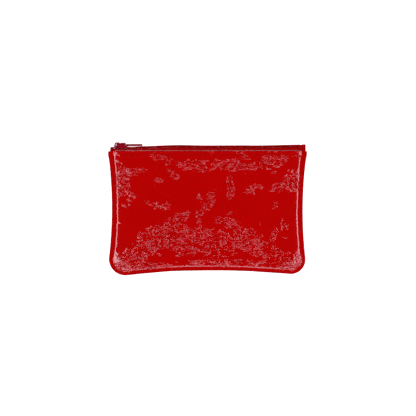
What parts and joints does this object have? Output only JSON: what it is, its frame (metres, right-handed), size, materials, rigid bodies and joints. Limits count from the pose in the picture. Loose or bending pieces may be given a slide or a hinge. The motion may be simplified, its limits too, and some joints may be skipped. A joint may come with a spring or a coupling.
{
  "type": "flat zip pouch",
  "caption": "Flat leather pouch with a coil zip along its top edge, a locking slider and a pull tab.",
  "frame": {"origin": "centre of the bounding box, on the surface that the back panel lies on", "axes": "+X along the zip towards its bottom stop, +Y from the bottom seam to the zip, +Z out through the front panel"},
  "size_m": [0.2034, 0.1359, 0.0129],
  "materials": {
    "patent_leather": "glossy crinkled patent",
    "zip_tape": "woven",
    "coil": "satin",
    "thread": "twisted thread",
    "stop_metal": "lacquered",
    "lacquered_metal": "glossy lacquer",
    "spring_steel": "bright"
  },
  "bodies": {
    "back": {"back_panel": "patent_leather", "back_edge_stitches": "thread", "seam_stitches": "thread", "back_tape": "zip_tape", "back_coil": "coil", "back_coil_cord": "thread", "back_coil_thread": "thread", "back_top_stop": "stop_metal", "bottom_stop": "stop_metal"},
    "front": {"front_panel": "patent_leather", "front_edge_stitches": "thread", "front_tape": "zip_tape", "front_coil": "coil", "front_coil_cord": "thread", "front_coil_thread": "thread", "front_top_stop": "stop_metal"},
    "slider": {"slider_body": "lacquered_metal", "slider_crown": "lacquered_metal", "lock_spring": "spring_steel"},
    "pull": {"pull_tab": "lacquered_metal"}
  },
  "joints": [
    {"name": "zip_slide", "type": "slide", "parent": "back", "child": "slider", "axis": [0.9999, 0.0114, 0], "range_m": [0, 0.176]},
    {"name": "mouth_open", "type": "hinge", "parent": "back", "child": "front", "pos_m": [0, -0.06805, 0.00645], "axis": [1, 0, 0], "range_deg": [0, 12], "deforming": ["front_tape", "front_coil", "front_coil_cord", "front_coil_thread"]},
    {"name": "pull_swing", "type": "hinge", "parent": "slider", "child": "pull", "pos_m": [-0.09211, 0.06586, 0.00645], "axis": [0, 0, 1], "range_deg": [0, 180]}
  ],
  "couplings": [
    {"joint": "mouth_open", "follows": "zip_slide", "rad_per_m": 1.189}
  ]
}
